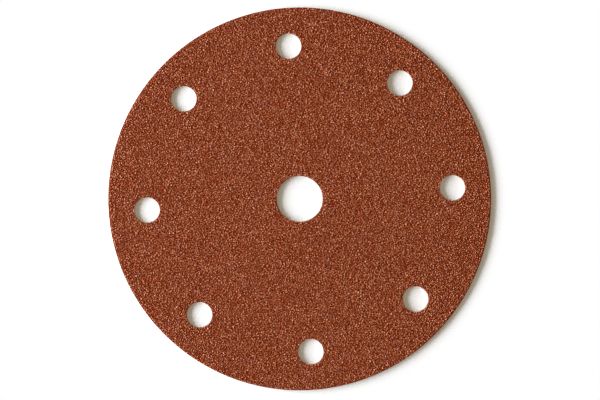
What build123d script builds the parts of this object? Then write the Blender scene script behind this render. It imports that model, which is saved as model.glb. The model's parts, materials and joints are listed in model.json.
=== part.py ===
from build123d import *
import os

# Sanding disc for a random orbital sander, with eight dust holes on a circle round a centre hole.
# It is a laminate of three plies, from the loop side up: the loop fabric that grips the sander's
# pad, the backing paper, and the abrasive coat of grains set in resin. One punch cuts the rim and
# the holes through all three, so every ply is cut from the same outline.
# Millimetres, +Z out of the grit, origin on the disc's axis at the foot of the loops.

# The blank: a standard size for a pad with eight dust ports and one in the middle.
disc_diameter = 150.0
centre_hole_diameter = 18.0
dust_hole_diameter = 10.0
dust_hole_count = 8
rim_land = 10.0  # what is left between a dust hole and the rim
dust_hole_circle_diameter = disc_diameter - dust_hole_diameter - 2 * rim_land

# The plies, from the loop side up.
loop_fabric_thickness = 0.62  # knitted ground and its brushed loops
backing_paper_thickness = 0.42  # heavy paper
abrasive_coat_thickness = 0.52  # resin and grains, up to the tips of the grains

# What the punch does to the edges of the plies.
loop_edge_fold = 0.20  # the loops fold over at the foot of every cut
coat_edge_chip = 0.10  # the brittle coat crumbles back from the top of every cut
edge_share_limit = 0.45  # the share of a ply's thickness that its edge form may take


def punched_outline():
    """The flat outline of the cut: the round blank less its nine holes."""
    blank = Circle(disc_diameter / 2)
    centre_hole = Circle(centre_hole_diameter / 2)
    dust_hole_places = PolarLocations(dust_hole_circle_diameter / 2, dust_hole_count)
    dust_holes = dust_hole_places * Circle(dust_hole_diameter / 2)
    return blank - centre_hole - dust_holes


def cut_ply(outline, base_height, thickness):
    """One ply of the laminate, with its underside at base_height."""
    return extrude(Pos(0, 0, base_height) * outline, thickness)


def loop_fabric(outline):
    """The lowest ply, bevelled at the foot of every cut where its loops fold over."""
    ply = cut_ply(outline, 0, loop_fabric_thickness)
    foot_edges = ply.faces().sort_by(Axis.Z)[0].edges()
    fold = min(loop_edge_fold, edge_share_limit * loop_fabric_thickness)
    return chamfer(foot_edges, fold)


def backing_paper(outline):
    """The middle ply, cut clean and square."""
    return cut_ply(outline, loop_fabric_thickness, backing_paper_thickness)


def abrasive_coat(outline):
    """The top ply, bevelled at the top of every cut where the coat crumbles back."""
    base_height = loop_fabric_thickness + backing_paper_thickness
    ply = cut_ply(outline, base_height, abrasive_coat_thickness)
    top_edges = ply.faces().sort_by(Axis.Z)[-1].edges()
    chip = min(coat_edge_chip, edge_share_limit * abrasive_coat_thickness)
    return chamfer(top_edges, chip)


outline = punched_outline()
plies = {
    "loop_fabric": loop_fabric(outline),
    "backing_paper": backing_paper(outline),
    "abrasive_coat": abrasive_coat(outline),
}

os.makedirs("parts", exist_ok=True)
for node, ply in plies.items():
    export_step(ply, f"parts/{node}.step")
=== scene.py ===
import json
import math

import bmesh
import bpy
import numpy as np
from mathutils import Euler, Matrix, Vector, geometry

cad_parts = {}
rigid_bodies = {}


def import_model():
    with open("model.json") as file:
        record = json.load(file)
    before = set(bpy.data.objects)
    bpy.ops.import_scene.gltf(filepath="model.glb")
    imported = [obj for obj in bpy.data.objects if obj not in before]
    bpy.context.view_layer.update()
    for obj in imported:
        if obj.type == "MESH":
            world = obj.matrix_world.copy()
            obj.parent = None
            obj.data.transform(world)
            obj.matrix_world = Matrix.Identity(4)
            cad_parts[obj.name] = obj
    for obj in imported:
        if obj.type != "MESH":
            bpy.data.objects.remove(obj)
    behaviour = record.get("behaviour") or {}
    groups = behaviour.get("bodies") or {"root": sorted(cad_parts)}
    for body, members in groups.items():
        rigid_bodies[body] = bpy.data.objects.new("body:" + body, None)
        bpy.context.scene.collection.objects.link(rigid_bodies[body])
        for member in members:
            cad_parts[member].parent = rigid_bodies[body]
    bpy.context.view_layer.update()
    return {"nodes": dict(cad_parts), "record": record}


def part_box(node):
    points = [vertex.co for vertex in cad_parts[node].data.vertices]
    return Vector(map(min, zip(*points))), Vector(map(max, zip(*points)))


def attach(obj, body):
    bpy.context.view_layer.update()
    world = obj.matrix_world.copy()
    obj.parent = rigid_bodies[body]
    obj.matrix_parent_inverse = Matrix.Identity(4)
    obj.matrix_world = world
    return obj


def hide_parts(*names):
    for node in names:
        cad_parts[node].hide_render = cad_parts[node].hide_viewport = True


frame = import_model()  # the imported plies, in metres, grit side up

mm = 0.001
fullTurn = math.tau

mountSizes = {mount["name"]: mount["dims"] for mount in frame["record"]["mounts"]}
fabricFoot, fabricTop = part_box("loop_fabric")
coatFoot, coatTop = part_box("abrasive_coat")
disc = {
    "radius": coatTop.x,
    "centreHoleRadius": mountSizes["centre_hole"]["r_mm"] * mm,
    "dustHoleRadius": mountSizes["dust_holes"]["hole_r_mm"] * mm,
    "dustCircleRadius": mountSizes["dust_holes"]["pcd_mm"] / 2 * mm,
    "dustHoleCount": mountSizes["dust_holes"]["count"],
}
print("frame: disc of", round(disc["radius"] * 2 / mm, 2), "mm,", round(coatTop.z / mm, 3), "mm thick")


# Node trees. A key of inputs is a socket's name or number, and a value is a number or another node's socket.

def addNode(tree, kind, inputs=None, **settings):
    node = tree.nodes.new(kind)
    for name, value in settings.items():
        setattr(node, name, value)
    for key, value in (inputs or {}).items():
        if isinstance(value, bpy.types.NodeSocket):
            tree.links.new(value, node.inputs[key])
        else:
            node.inputs[key].default_value = value
    return node


def addMath(tree, operation, first, second=0.0):
    return addNode(tree, "ShaderNodeMath", {0: first, 1: second}, operation=operation).outputs[0]


def addRamp(tree, factor, stops):
    ramp = addNode(tree, "ShaderNodeValToRGB", {"Fac": factor})
    elements = ramp.color_ramp.elements
    while len(elements) < len(stops):
        elements.new(0.5)
    for element, (place, colour) in zip(elements, stops):
        element.position = place
        element.color = (*colour, 1.0)
    return ramp.outputs["Color"]


def addNoise(tree, place, scale, detail):
    given = {"Vector": place, "Scale": scale, "Detail": detail}
    return addNode(tree, "ShaderNodeTexNoise", given).outputs["Fac"]


def addBump(tree, shader, height, strength, distance):
    given = {"Strength": strength, "Distance": distance, "Height": height}
    tree.links.new(addNode(tree, "ShaderNodeBump", given).outputs[0], shader.inputs["Normal"])


def readTone(tree, name):
    return addNode(tree, "ShaderNodeAttribute", attribute_name=name).outputs["Fac"]


def weighedSum(tree, shares, start=0.0):
    total = start
    for part, share in shares:
        total = addMath(tree, "ADD", addMath(tree, "MULTIPLY", part, share), total)
    return total


def newMaterial(name):
    material = bpy.data.materials.new(name)
    material.use_nodes = True
    tree = material.node_tree
    shader = tree.nodes["Principled BSDF"]
    place = addNode(tree, "ShaderNodeTexCoord").outputs["Object"]
    return material, tree, shader, place


# Camera: straight above, turned a little about its axis as the photograph is.

camera = {
    "imageWidth": 600,
    "discCentre": (299.6, 198.9),  # pixels in the 600 x 400 frame
    "imageCentre": (300.0, 200.0),
    "discRadius": 191.6,  # pixels
    "turn": math.radians(-4.17),  # the dust holes stand 4.17 degrees round from the frame's axes
    "lens": 100.0,
    "sensor": 36.0,
    "clipStart": 0.01,
}


def makeCamera():
    pixel = disc["radius"] / camera["discRadius"]
    height = pixel * camera["imageWidth"] * camera["lens"] / camera["sensor"]
    right = (camera["imageCentre"][0] - camera["discCentre"][0]) * pixel
    down = (camera["imageCentre"][1] - camera["discCentre"][1]) * pixel
    aim = Vector((right, -down, 0.0))
    aim.rotate(Euler((0, 0, camera["turn"])))
    data = bpy.data.cameras.new("overheadCamera")
    data.lens = camera["lens"]
    data.sensor_width = camera["sensor"]
    data.clip_start = camera["clipStart"]
    holder = bpy.data.objects.new("overheadCamera", data)
    holder.location = (aim.x, aim.y, coatTop.z + height)
    holder.rotation_euler = (0, 0, camera["turn"])
    bpy.context.scene.collection.objects.link(holder)
    bpy.context.scene.camera = holder


makeCamera()
print("camera set")


# Light: one broad soft lamp low on the photograph's left, and a weak warm light from all round.

light = {
    "azimuth": math.radians(178),  # round from the frame's right-hand side
    "elevation": math.radians(15),
    "distance": 1.15,
    "width": 2.1,
    "height": 0.70,
    "power": 59.0,
    "colour": (0.94, 1.0, 1.09),
    "room": 0.28,
    "roomColour": (1.18, 1.0, 0.76),
    "floorRadius": 2.5,
    "floorSides": 96,
    "floorShade": 0.88,
    "floorShadeSeen": 1.01,  # to the camera alone, so that the lit floor reads as white
    "whiteFrom": 75.7 * mm,  # from the axis: here the floor that the camera sees begins to turn plain white, a painted light that also lightens the outer part of the disc's cast shadow
    "whiteBy": 81.6 * mm,
}


def makeLamp():
    data = bpy.data.lights.new("softLamp", "AREA")
    data.shape = "ELLIPSE"
    data.size = light["width"]
    data.size_y = light["height"]
    data.energy = light["power"]
    data.color = light["colour"]
    lamp = bpy.data.objects.new("softLamp", data)
    reach = Vector((math.cos(light["elevation"]), 0, math.sin(light["elevation"]))) * light["distance"]
    reach.rotate(Euler((0, 0, light["azimuth"] + camera["turn"])))
    lamp.location = reach
    lamp.rotation_euler = (-reach).to_track_quat("-Z", "Y").to_euler()
    bpy.context.scene.collection.objects.link(lamp)


def makeWorld():
    world = bpy.data.worlds.new("paleRoom")
    world.use_nodes = True
    bpy.context.scene.world = world
    tree = world.node_tree
    room = tree.nodes["Background"]
    room.inputs["Color"].default_value = (*light["roomColour"], 1)
    room.inputs["Strength"].default_value = light["room"]
    backdrop = addNode(tree, "ShaderNodeBackground", {"Color": (1, 1, 1, 1), "Strength": 1.0})
    seen = addNode(tree, "ShaderNodeLightPath").outputs["Is Camera Ray"]
    mixed = addNode(tree, "ShaderNodeMixShader", {0: seen, 1: room.outputs[0], 2: backdrop.outputs[0]})
    tree.links.new(mixed.outputs[0], tree.nodes["World Output"].inputs["Surface"])


def makeFloor():
    bm = bmesh.new()
    bmesh.ops.create_circle(bm, cap_ends=True, segments=light["floorSides"], radius=light["floorRadius"])
    mesh = bpy.data.meshes.new("studioFloor")
    bm.to_mesh(mesh)
    bm.free()
    floor = bpy.data.objects.new("studioFloor", mesh)
    bpy.context.scene.collection.objects.link(floor)
    material, tree, shader, place = newMaterial("floorWhite")
    tree.nodes.remove(shader)
    seen = addNode(tree, "ShaderNodeLightPath").outputs["Is Camera Ray"]
    gain = addMath(tree, "MULTIPLY", seen, light["floorShadeSeen"] - light["floorShade"])
    lit = addNode(tree, "ShaderNodeBsdfDiffuse", {"Color": addMath(tree, "ADD", gain, light["floorShade"])})
    distance = addNode(tree, "ShaderNodeVectorMath", {0: place}, operation="LENGTH").outputs["Value"]
    away = addNode(tree, "ShaderNodeMapRange", {
        "Value": distance, "From Min": light["whiteFrom"], "From Max": light["whiteBy"],
    }, interpolation_type="SMOOTHSTEP").outputs[0]
    # Camera-only white emission from whiteFrom to whiteBy: painted light that fades the tail of the disc's
    # cast shadow into the white floor.
    white = addNode(tree, "ShaderNodeEmission", {"Strength": 1.0})
    mixed = addNode(tree, "ShaderNodeMixShader", {
        0: addMath(tree, "MULTIPLY", away, seen), 1: lit.outputs[0], 2: white.outputs[0],
    })
    tree.links.new(mixed.outputs[0], tree.nodes["Material Output"].inputs["Surface"])
    mesh.materials.append(material)


makeLamp()
makeWorld()
makeFloor()
bpy.context.scene.view_settings.view_transform = "Standard"
print("lamp, room and floor made")


# The punched outline, as a net of triangles that is open at every hole.

netting = {
    "leastSides": 36,  # round a hole
    "rowShare": math.sqrt(0.75),  # of a step from row to row, for even triangles
    "stagger": 0.5,  # of a step, in every other row
    "clearShare": 0.6,  # of a step between a cut and the inner points
    "tolerance": 1e-5,  # in mm
}


def cutCircles():
    circles = [(0.0, 0.0, disc["centreHoleRadius"])]
    for index in range(disc["dustHoleCount"]):
        angle = fullTurn * index / disc["dustHoleCount"]
        x, y = disc["dustCircleRadius"] * math.cos(angle), disc["dustCircleRadius"] * math.sin(angle)
        circles.append((x, y, disc["dustHoleRadius"]))
    return circles


def clearOfCuts(points, margin):
    kept = np.hypot(points[:, 0], points[:, 1]) < disc["radius"] - margin
    for x, y, radius in cutCircles():
        kept &= np.hypot(points[:, 0] - x, points[:, 1] - y) > radius + margin
    return kept


def gridPoints(stepX, stepY):
    rows = int(disc["radius"] / stepY) + 1
    columns = int(disc["radius"] / stepX) + 2
    rowNumbers = np.arange(-rows, rows + 1)
    columnNumbers = np.arange(-columns, columns + 1)
    row, column = np.meshgrid(rowNumbers, columnNumbers, indexing="ij")
    x = (column + netting["stagger"] * (row % 2)) * stepX
    return np.stack([x.ravel(), (row * stepY).ravel()], 1)


def punchedNet(step, holeInset=0.0, rimInset=0.0):
    cuts = [(0.0, 0.0, disc["radius"] - rimInset)]
    cuts += [(x, y, radius + holeInset) for x, y, radius in cutCircles()]
    points = []
    edges = []
    for x, y, radius in cuts:
        count = max(netting["leastSides"], round(fullTurn * radius / step))
        first = len(points)
        angles = np.arange(count) * fullTurn / count
        points += [(x + radius * math.cos(a), y + radius * math.sin(a)) for a in angles]
        edges += [(first + i, first + (i + 1) % count) for i in range(count)]
    inner = gridPoints(step, step * netting["rowShare"])
    margin = max(holeInset, rimInset) + step * netting["clearShare"]
    points = np.concatenate([np.array(points), inner[clearOfCuts(inner, margin)]])
    made = geometry.delaunay_2d_cdt([Vector(p) for p in points / mm], edges, [], 0, netting["tolerance"])
    spots = np.array([tuple(v) for v in made[0]]) * mm
    triangles = np.array(made[2])
    triangles = triangles[clearOfCuts(spots[triangles].mean(1), holeInset)]
    one, two, three = (spots[triangles[:, i]] for i in range(3))
    toTwo = two - one
    toThree = three - one
    area = toTwo[:, 0] * toThree[:, 1] - toTwo[:, 1] * toThree[:, 0]
    triangles[area < 0] = triangles[area < 0][:, ::-1]
    return spots, triangles


def netRim(triangles):
    ways = {(int(a), int(b)) for tri in triangles for a, b in zip(tri, np.roll(tri, -1))}
    return [(a, b) for a, b in ways if (b, a) not in ways]


def plateMesh(name, net, topHeights, footHeights):
    spots, triangles = net
    count = len(spots)
    top = np.column_stack([spots, topHeights])
    foot = np.column_stack([spots, footHeights])
    faces = triangles.tolist() + (triangles[:, ::-1] + count).tolist()
    faces += [(b, a, a + count, b + count) for a, b in sorted(netRim(triangles))]
    mesh = bpy.data.meshes.new(name)
    mesh.from_pydata(np.concatenate([top, foot]).tolist(), [], faces)
    mesh.update()
    return mesh


def openMesh(name, net, height):
    spots, triangles = net
    mesh = bpy.data.meshes.new(name)
    mesh.from_pydata(np.column_stack([spots, np.full(len(spots), height)]).tolist(), [], triangles.tolist())
    mesh.update()
    return mesh


def newObject(name, mesh):
    thing = bpy.data.objects.new(name, mesh)
    bpy.context.scene.collection.objects.link(thing)
    return thing


def waves(spots, length, seed, count=12):
    # Smooth random hills of about one length, from crossed sine waves.
    rng = np.random.default_rng(seed)
    total = np.zeros(len(spots))
    for angle, phase, stretch in rng.random((count, 3)):
        direction = np.array([math.cos(angle * fullTurn), math.sin(angle * fullTurn)])
        hill = length * (0.6 + 0.8 * stretch)
        total += np.sin(spots @ direction * fullTurn / hill + phase * fullTurn)
    return total / math.sqrt(count / 2)


# Geometry Nodes: one tree strews grains over a sheet, one hangs loops from seats.

def newTree(name, sockets):
    tree = bpy.data.node_groups.new(name, "GeometryNodeTree")
    for socketName, kind in sockets.items():
        tree.interface.new_socket(socketName, in_out="INPUT", socket_type="NodeSocket" + kind)
    tree.interface.new_socket("Geometry", in_out="OUTPUT", socket_type="NodeSocketGeometry")
    return tree, addNode(tree, "NodeGroupInput").outputs


def realMesh(tree, instances):
    return addNode(tree, "GeometryNodeRealizeInstances", {"Geometry": instances}).outputs[0]


def closeTree(tree, real, material):
    painted = addNode(tree, "GeometryNodeSetMaterial", {"Geometry": real, "Material": material}).outputs[0]
    addNode(tree, "NodeGroupOutput", {0: painted})


def storeTone(tree, grown, name, domain, value):
    given = {"Geometry": grown, "Name": name, "Value": value}
    stored = addNode(tree, "GeometryNodeStoreNamedAttribute", given, data_type="FLOAT", domain=domain)
    return stored.outputs[0]


def addWhole(tree, operation, first, second):
    given = {0: first, 1: second}
    return addNode(tree, "FunctionNodeIntegerMath", given, operation=operation).outputs[0]


def addVector(tree, x=0.0, y=0.0, z=0.0):
    return addNode(tree, "ShaderNodeCombineXYZ", {"X": x, "Y": y, "Z": z}).outputs[0]


def randomNumber(tree, low, high, seed):
    given = {2: low, 3: high, "Seed": seed}
    return addNode(tree, "FunctionNodeRandomValue", given, data_type="FLOAT").outputs[1]


def randomWhole(tree, low, high, seed):
    given = {4: low, 5: high, "Seed": seed}
    return addNode(tree, "FunctionNodeRandomValue", given, data_type="INT").outputs[2]


def randomVector(tree, low, high, seed):
    given = {0: low, 1: high, "Seed": seed}
    return addNode(tree, "FunctionNodeRandomValue", given, data_type="FLOAT_VECTOR").outputs[0]


def seedAfter(tree, given, step):
    return addWhole(tree, "ADD", given["Seed"], step)


def ownBatch(tree, points, given):
    # Keeps one point in so many, so that each piece gets its share.
    index = addNode(tree, "GeometryNodeInputIndex").outputs[0]
    turn = addWhole(tree, "MODULO", index, given["Batches"])
    sides = {2: turn, 3: given["Batch"]}
    other = addNode(tree, "FunctionNodeCompare", sides, data_type="INT", operation="NOT_EQUAL").outputs[0]
    cut = {"Geometry": points, "Selection": other}
    return addNode(tree, "GeometryNodeDeleteGeometry", cut, domain="POINT").outputs[0]


def placeShapes(tree, given, shelf, points, rotation, scale, seed):
    # Puts a random shape from the shelf on every point.
    shapes = addNode(tree, "GeometryNodeCollectionInfo", {
        "Collection": given[shelf], "Separate Children": True, "Reset Children": True,
    }).outputs[0]
    lastShape = addWhole(tree, "SUBTRACT", given["Shape Count"], 1)
    return addNode(tree, "GeometryNodeInstanceOnPoints", {
        "Points": points, "Instance": shapes, "Pick Instance": True,
        "Instance Index": randomWhole(tree, 0, lastShape, seed), "Rotation": rotation, "Scale": scale,
    }).outputs[0]


def strewTree():
    tree, given = newTree("strewGrains", {
        "Geometry": "Geometry", "Grain Shapes": "Collection", "Shape Count": "Int",
        "Least Spacing": "Float", "Most per Area": "Float", "Smallest": "Float", "Largest": "Float",
        "Tallness": "Float", "Tilt": "Float", "Height Spread": "Float", "Darkest": "Float",
        "Palest": "Float", "Seed": "Int", "Batch": "Int", "Batches": "Int", "Material": "Material",
    })
    strewn = addNode(tree, "GeometryNodeDistributePointsOnFaces", {
        "Mesh": given["Geometry"], "Distance Min": given["Least Spacing"],
        "Density Max": given["Most per Area"], "Seed": given["Seed"],
    }, distribute_method="POISSON").outputs["Points"]
    points = ownBatch(tree, strewn, given)
    sunk = addMath(tree, "MULTIPLY", given["Height Spread"], -0.5)
    raised = addMath(tree, "MULTIPLY", given["Height Spread"], 0.5)
    lift = addVector(tree, z=randomNumber(tree, sunk, raised, seedAfter(tree, given, 1)))
    placed = addNode(tree, "GeometryNodeSetPosition", {"Geometry": points, "Offset": lift}).outputs[0]

    size = randomNumber(tree, given["Smallest"], given["Largest"], seedAfter(tree, given, 2))
    build = randomVector(tree, shard["slimmest"], shard["stoutest"], seedAfter(tree, given, 3))
    sized = addNode(tree, "ShaderNodeVectorMath", {0: build, "Scale": size}, operation="SCALE").outputs[0]
    stature = addVector(tree, 1.0, 1.0, given["Tallness"])
    scale = addNode(tree, "ShaderNodeVectorMath", {0: sized, 1: stature}, operation="MULTIPLY").outputs[0]
    leanBack = addMath(tree, "MULTIPLY", given["Tilt"], -1.0)
    low = addVector(tree, leanBack, leanBack, 0.0)
    high = addVector(tree, given["Tilt"], given["Tilt"], fullTurn)
    rotation = randomVector(tree, low, high, seedAfter(tree, given, 5))
    grains = placeShapes(tree, given, "Grain Shapes", placed, rotation, scale, seedAfter(tree, given, 4))

    grainTone = randomNumber(tree, given["Darkest"], given["Palest"], seedAfter(tree, given, 6))
    toned = realMesh(tree, storeTone(tree, grains, "grainTone", "INSTANCE", grainTone))
    facetTone = randomNumber(tree, 0.0, 1.0, seedAfter(tree, given, 7))
    closeTree(tree, storeTone(tree, toned, "facetTone", "FACE", facetTone), given["Material"])
    return tree


def hangTree():
    tree, given = newTree("hangLoops", {
        "Geometry": "Geometry", "Loop Shapes": "Collection", "Shape Count": "Int",
        "Smallest": "Float", "Largest": "Float", "Lean": "Float", "Swing": "Float",
        "Seed": "Int", "Batch": "Int", "Batches": "Int", "Material": "Material",
    })
    seats = addNode(tree, "GeometryNodeMeshToPoints", {"Mesh": given["Geometry"]}).outputs[0]
    points = ownBatch(tree, seats, given)
    leanBack = addMath(tree, "MULTIPLY", given["Lean"], -1.0)
    swingBack = addMath(tree, "MULTIPLY", given["Swing"], -1.0)
    low = addVector(tree, x=leanBack, z=swingBack)
    high = addVector(tree, x=given["Lean"], z=given["Swing"])
    rotation = randomVector(tree, low, high, seedAfter(tree, given, 3))
    size = randomNumber(tree, given["Smallest"], given["Largest"], seedAfter(tree, given, 1))
    loops = placeShapes(tree, given, "Loop Shapes", points, rotation, size, seedAfter(tree, given, 2))
    yarnTone = randomNumber(tree, 0.0, 1.0, seedAfter(tree, given, 4))
    toned = storeTone(tree, loops, "yarnTone", "INSTANCE", yarnTone)
    closeTree(tree, realMesh(tree, toned), given["Material"])
    return tree


def growPiece(name, carrierMesh, tree, values):
    # Runs a tree on a carrier and keeps the result as a plain mesh.
    carrier = newObject(name + "Carrier", carrierMesh)
    modifier = carrier.modifiers.new("grow", "NODES")
    modifier.node_group = tree
    for item in tree.interface.items_tree:
        if item.in_out == "INPUT" and item.name in values:
            modifier[item.identifier] = values[item.name]
    graph = bpy.context.evaluated_depsgraph_get()
    mesh = bpy.data.meshes.new_from_object(carrier.evaluated_get(graph), depsgraph=graph)
    mesh.name = name
    carrier.modifiers.clear()
    bpy.data.objects.remove(carrier)
    return newObject(name, mesh)


def shapeShelf(name, meshes):
    # A collection of small shapes for a tree to pick from, kept out of the scene.
    shelf = bpy.data.collections.new(name)
    for index, mesh in enumerate(meshes):
        shelf.objects.link(bpy.data.objects.new(f"{name}{index:02d}", mesh))
    return shelf


def clearShelf(shelf):
    for thing in list(shelf.objects):
        bpy.data.objects.remove(thing)
    bpy.data.collections.remove(shelf)


def vertexPlaces(mesh):
    places = np.empty(len(mesh.vertices) * 3, np.float32)
    mesh.vertices.foreach_get("co", places)
    return places.reshape(-1, 3)


def moveVertices(mesh, places):
    mesh.vertices.foreach_set("co", places.ravel())
    mesh.update()


def flatUv(piece):
    # The view from above as the piece's map for baking, in which every sloping face has some width.
    mesh = piece.data
    layer = mesh.uv_layers.new(name="OFBake")
    corners = np.empty(len(mesh.loops), np.int32)
    mesh.loops.foreach_get("vertex_index", corners)
    mapWidth = 2 * disc["radius"] * 1.01  # with room for what reaches past the rim
    flat = vertexPlaces(mesh)[corners, :2] / mapWidth + 0.5
    layer.data.foreach_set("uv", flat.astype(np.float32).ravel())


# Abrasive coat: a bed of resin with crushed grains standing in it.

coat = {
    "bedShare": 0.12,  # how much of the coat's thickness the resin fills
    "bedStep": 1.3 * mm,
    "bedHill": 0.012 * mm,
    "bedHillLength": 3.0 * mm,
    "bedLeast": 0.02 * mm,
    "fieldStep": 6 * mm,  # of the flat net that the grains are strewn on
    "tilt": math.radians(38),
    "heightSpread": 0.10 * mm,
    "seed": 11,
}
shard = {
    "corners": (5, 5, 5, 6, 6, 5, 5, 6, 5, 6, 7, 5),  # of each shape that a grain can have
    "cornerTries": 24,  # the one furthest from the corners so far is kept
    "cornerReach": (0.85, 1.15),
    "height": 1.1,
    "slimmest": (0.78, 0.78, 0.85),
    "stoutest": (1.22, 1.22, 1.25),
}
bodyGrains = {
    "spacing": 0.36 * mm,
    "mostPerArea": 1.0e7,  # grains tried for each square metre
    "holeInset": 0.11 * mm,
    "rimInset": 0.28 * mm,  # the punch breaks the grains back along the rim
    "smallest": 0.18 * mm,
    "largest": 0.28 * mm,
    "tallness": 1.15,
    "lift": 0.04 * mm,
    "tones": (0.0, 1.0),
    "seed": 11,
    "batches": 4,
}
tallGrains = {
    "spacing": 0.80 * mm,
    "mostPerArea": 1.2e7,
    "holeInset": 0.20 * mm,
    "rimInset": 0.45 * mm,
    "smallest": 0.27 * mm,
    "largest": 0.38 * mm,
    "tallness": 1.0,
    "lift": 0.11 * mm,
    "tones": (0.3, 0.8),
    "seed": 31,
    "batches": 1,
}


def resinMaterial():
    material, tree, shader, place = newMaterial("sizeResin")
    mottle = addNoise(tree, place, 1400.0, 3.0)
    colour = addRamp(tree, mottle, [(0.3, (0.145, 0.013, 0.001)), (0.7, (0.25, 0.031, 0.003))])
    tree.links.new(colour, shader.inputs["Base Color"])
    addBump(tree, shader, mottle, 0.7, 0.08 * mm)
    shader.inputs["Roughness"].default_value = 0.42
    shader.inputs["Specular IOR Level"].default_value = 0.2
    return material


def grainMaterial():
    material, tree, shader, place = newMaterial("crushedGrain")
    grain = readTone(tree, "grainTone")
    facet = readTone(tree, "facetTone")
    speck = addNoise(tree, place, 2600.0, 2.0)
    patch = addNoise(tree, place, 170.0, 2.0)
    total = weighedSum(tree, ((grain, 0.22), (facet, 0.29), (patch, 0.04), (speck, 0.38)), start=0.005)
    colour = addRamp(tree, total, [
        (0.10, (0.12, 0.006, 0.0008)), (0.43, (0.425, 0.076, 0.004)), (0.68, (0.60, 0.215, 0.066)),
        (0.94, (0.74, 0.50, 0.40)),
    ])
    tree.links.new(colour, shader.inputs["Base Color"])
    rough = addNode(tree, "ShaderNodeMapRange", {"Value": speck, "To Min": 0.44, "To Max": 0.68}).outputs[0]
    tree.links.new(rough, shader.inputs["Roughness"])
    shader.inputs["Specular IOR Level"].default_value = 0.85
    addBump(tree, shader, speck, 0.35, 0.03 * mm)
    return material


def grainShape(name, corners, seed):
    # A sharp shard: the hull of a few corners spread over a ball, a little taller than it is wide.
    rng = np.random.default_rng(seed)
    spots = [rng.normal(size=3)]
    while len(spots) < corners:
        tries = rng.normal(size=(shard["cornerTries"], 3))
        tries /= np.linalg.norm(tries, axis=1)[:, None]
        placed = np.array(spots) / np.linalg.norm(spots, axis=1)[:, None]
        spots.append(tries[(tries @ placed.T).max(1).argmin()])
    spots = np.array(spots) / np.linalg.norm(spots, axis=1)[:, None]
    spots *= rng.uniform(*shard["cornerReach"], (corners, 1)) * np.array([1.0, 1.0, shard["height"]])
    bm = bmesh.new()
    for spot in spots:
        bm.verts.new(spot)
    bmesh.ops.convex_hull(bm, input=bm.verts)
    bmesh.ops.recalc_face_normals(bm, faces=bm.faces)
    mesh = bpy.data.meshes.new(name)
    bm.to_mesh(mesh)
    bm.free()
    return mesh


def bluntTips(piece):
    # No grain stands above the coat.
    places = vertexPlaces(piece.data)
    over = (places[:, 2] > coatTop.z).mean()
    places[:, 2] = np.minimum(places[:, 2], coatTop.z)
    moveVertices(piece.data, places)
    print("tips blunted:", round(100 * float(over), 2), "% of corners")


def makeCoat():
    bedTop = coatFoot.z + (coatTop.z - coatFoot.z) * coat["bedShare"]
    net = punchedNet(coat["bedStep"])
    hills = bedTop + coat["bedHill"] * waves(net[0], coat["bedHillLength"], coat["seed"])
    hills = np.maximum(hills, coatFoot.z + coat["bedLeast"])
    bed = newObject("resin_bed", plateMesh("resin_bed", net, hills, np.full(len(hills), coatFoot.z)))
    bed.data.materials.append(resinMaterial())
    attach(bed, "root")
    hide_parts("abrasive_coat")

    shapes = []
    for index, corners in enumerate(shard["corners"]):
        shapes.append(grainShape(f"shard{index:02d}", corners, coat["seed"] + index))
    shelf = shapeShelf("shard", shapes)
    material = grainMaterial()
    tree = strewTree()
    for name, grain in (("body_grains", bodyGrains), ("tall_grains", tallGrains)):
        field = punchedNet(coat["fieldStep"], grain["holeInset"], grain["rimInset"])
        for batch in range(grain["batches"]):
            carrierMesh = openMesh("grainField", field, bedTop + grain["lift"])
            piece = growPiece(f"{name}_{batch + 1}", carrierMesh, tree, {
                "Grain Shapes": shelf, "Shape Count": len(shapes), "Least Spacing": grain["spacing"],
                "Most per Area": grain["mostPerArea"], "Smallest": grain["smallest"],
                "Largest": grain["largest"], "Tallness": grain["tallness"], "Tilt": coat["tilt"],
                "Height Spread": coat["heightSpread"], "Darkest": grain["tones"][0],
                "Palest": grain["tones"][1], "Seed": grain["seed"], "Batch": batch,
                "Batches": grain["batches"], "Material": material,
            })
            bluntTips(piece)
            flatUv(piece)
            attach(piece, "root")
            print(piece.name, "has", len(piece.data.polygons), "faces")
    clearShelf(shelf)


makeCoat()
print("abrasive coat made")


# Backing paper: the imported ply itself, in kraft paper.

def paperMaterial():
    material, tree, shader, place = newMaterial("kraftPaper")
    stretched = addNode(tree, "ShaderNodeMapping", {"Vector": place, "Scale": (1.0, 1.0, 9.0)}).outputs[0]
    fibres = addNoise(tree, stretched, 900.0, 5.0)
    colour = addRamp(tree, fibres, [
        (0.3, (0.42, 0.29, 0.165)), (0.55, (0.55, 0.41, 0.25)), (0.8, (0.66, 0.53, 0.36)),
    ])
    tree.links.new(colour, shader.inputs["Base Color"])
    addBump(tree, shader, fibres, 0.5, 0.05 * mm)
    shader.inputs["Roughness"].default_value = 0.85
    return material


def dressPaper():
    paper = frame["nodes"]["backing_paper"]
    paper.data.materials.clear()
    paper.data.materials.append(paperMaterial())


dressPaper()
print("backing paper dressed")


# Loop fabric: a knitted ground bonded to the paper, and loops of yarn that hang from it.

fabric = {
    "groundThickness": 0.30 * mm,
    "groundStep": 1.6 * mm,
    "ridge": 0.02 * mm,
    "ridgeLength": 5 * mm,
    "walePitch": 1.30 * mm,
    "coursePitch": 1.62 * mm,
    "seatShift": 0.22 * mm,
    "seatClear": 0.25,  # of a loop's span between its seat and a cut
    "smallest": 0.85,
    "largest": 1.12,
    "lean": math.radians(50),
    "swing": math.radians(42),
    "seed": 5,
    "seedStep": 10,  # from one pile to the next
    "batches": 2,
    "shapes": 6,
    "floorGap": 0.004 * mm,
}
yarnLoop = {
    "span": 0.95 * mm,
    "spanSpread": (0.8, 1.15),
    "skew": 0.35,  # this and the next are the most that a loop strays, in shares of its drop
    "bow": 0.5,
    "overrun": 0.12,  # of half a turn, by which each end runs on into the ground
    "depth": 0.9,  # of the way from the ground to the floor
    "points": 7,
    "yarnSides": 3,
    "yarnTwist": 0.35,  # radians from point to point
    "yarnRadius": 0.065 * mm,
}


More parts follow.
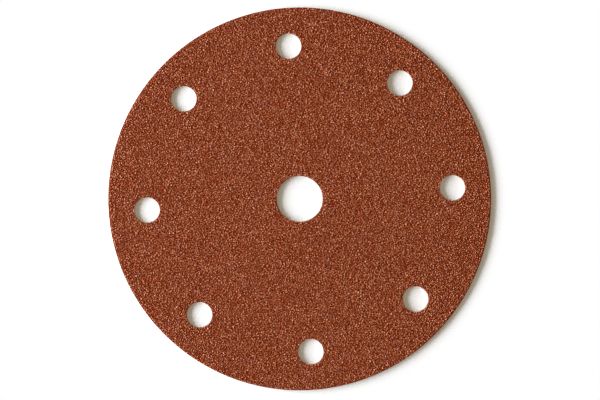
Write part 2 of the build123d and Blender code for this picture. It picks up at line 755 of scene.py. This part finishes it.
def yarnMaterial():
    material, tree, shader, place = newMaterial("loopYarn")
    tone = readTone(tree, "yarnTone")
    strands = addNoise(tree, place, 5200.0, 2.0)
    mixed = weighedSum(tree, ((tone, 0.5), (strands, 0.5)))
    colour = addRamp(tree, mixed, [(0.2, (0.60, 0.57, 0.49)), (0.8, (0.80, 0.78, 0.71))])
    tree.links.new(colour, shader.inputs["Base Color"])
    addBump(tree, shader, strands, 0.5, 0.02 * mm)
    shader.inputs["Roughness"].default_value = 0.6
    shader.inputs["Sheen Weight"].default_value = 0.25
    return material


def groundMaterial():
    material, tree, shader, place = newMaterial("knittedGround")
    wales = addNode(tree, "ShaderNodeTexWave", {
        "Vector": place, "Scale": fullTurn / (20 * fabric["walePitch"]), "Distortion": 0.6,
        "Detail Scale": 4.0,
    }, wave_type="BANDS", bands_direction="X").outputs["Fac"]
    fuzz = addNoise(tree, place, 3200.0, 3.0)
    height = weighedSum(tree, ((wales, 0.6), (fuzz, 0.4)))
    colour = addRamp(tree, height, [(0.25, (0.50, 0.47, 0.39)), (0.7, (0.72, 0.69, 0.61))])
    tree.links.new(colour, shader.inputs["Base Color"])
    addBump(tree, shader, height, 0.9, 0.12 * mm)
    shader.inputs["Roughness"].default_value = 0.85
    shader.inputs["Sheen Weight"].default_value = 0.2
    return material


def loopShape(name, seed):
    # One loop of yarn: a thin tube from the ground, down, round and back up into it.
    rng = np.random.default_rng(seed)
    drop = fabricTop.z - fabricFoot.z - fabric["groundThickness"]
    span = yarnLoop["span"] * rng.uniform(*yarnLoop["spanSpread"])
    skew = rng.uniform(-yarnLoop["skew"], yarnLoop["skew"])
    bow = rng.uniform(-yarnLoop["bow"], yarnLoop["bow"])
    turns = np.linspace(-yarnLoop["overrun"], 1 + yarnLoop["overrun"], yarnLoop["points"]) * math.pi
    path = np.stack([
        -np.cos(turns) * span / 2 + skew * np.sin(turns) * drop,
        bow * drop * np.sin(turns) ** 2,
        -np.sin(turns) * drop * yarnLoop["depth"],
    ], 1)
    sides = yarnLoop["yarnSides"]
    verts = []
    faces = []
    for i, spot in enumerate(path):
        along = path[min(i + 1, len(path) - 1)] - path[max(i - 1, 0)]
        along /= np.linalg.norm(along)
        across = np.cross(along, (0.0, 1.0, 0.0))
        across /= np.linalg.norm(across)
        third = np.cross(across, along)
        for side in range(sides):
            angle = fullTurn * side / sides + i * yarnLoop["yarnTwist"]
            verts.append(spot + yarnLoop["yarnRadius"] * (across * math.cos(angle) + third * math.sin(angle)))
    for i in range(len(path) - 1):
        for side in range(sides):
            a = i * sides + side
            b = i * sides + (side + 1) % sides
            faces.append((a, b, b + sides, a + sides))
    faces.append(tuple(range(sides)))
    faces.append(tuple(range(len(verts) - sides, len(verts))))
    mesh = bpy.data.meshes.new(name)
    mesh.from_pydata([tuple(v) for v in verts], [], faces)
    bm = bmesh.new()
    bm.from_mesh(mesh)
    bmesh.ops.triangulate(bm, faces=bm.faces)
    bmesh.ops.recalc_face_normals(bm, faces=bm.faces)
    bm.to_mesh(mesh)
    bm.free()
    for face in mesh.polygons:
        face.use_smooth = True
    return mesh


def restOnFloor(piece):
    # The lowest yarn is pressed flat where the disc lies on it.
    places = vertexPlaces(piece.data)
    places[:, 2] = np.maximum(places[:, 2], fabricFoot.z + fabric["floorGap"])
    moveVertices(piece.data, places)


def makeFabric():
    groundFoot = fabricTop.z - fabric["groundThickness"]
    net = punchedNet(fabric["groundStep"])
    ridges = fabric["ridge"] * waves(net[0], fabric["ridgeLength"], fabric["seed"])
    groundMesh = plateMesh("fabric_ground", net, np.full(len(net[0]), fabricTop.z), groundFoot + ridges)
    ground = newObject("fabric_ground", groundMesh)
    ground.data.materials.append(groundMaterial())
    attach(ground, "root")
    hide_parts("loop_fabric")

    rng = np.random.default_rng(fabric["seed"])
    seats = gridPoints(fabric["walePitch"], fabric["coursePitch"])
    seats = seats + rng.uniform(-1, 1, seats.shape) * fabric["seatShift"]
    seats = seats[clearOfCuts(seats, yarnLoop["span"] * fabric["seatClear"])]
    shapes = []
    for index in range(fabric["shapes"]):
        shapes.append(loopShape(f"yarnLoop{index}", fabric["seed"] + index))
    shelf = shapeShelf("yarnLoop", shapes)
    material = yarnMaterial()
    tree = hangTree()
    for batch in range(fabric["batches"]):
        mesh = bpy.data.meshes.new("loopSeats")
        mesh.from_pydata(np.column_stack([seats, np.full(len(seats), groundFoot)]).tolist(), [], [])
        loops = growPiece(f"loop_pile_{batch + 1}", mesh, tree, {
            "Loop Shapes": shelf, "Shape Count": fabric["shapes"], "Smallest": fabric["smallest"],
            "Largest": fabric["largest"], "Lean": fabric["lean"], "Swing": fabric["swing"],
            "Seed": fabric["seed"] + fabric["seedStep"] * batch, "Batch": batch,
            "Batches": fabric["batches"], "Material": material,
        })
        restOnFloor(loops)
        flatUv(loops)
        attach(loops, "root")
        print("loop pile", batch + 1, "has", len(loops.data.polygons), "faces")
    clearShelf(shelf)


makeFabric()
print("loop fabric made")
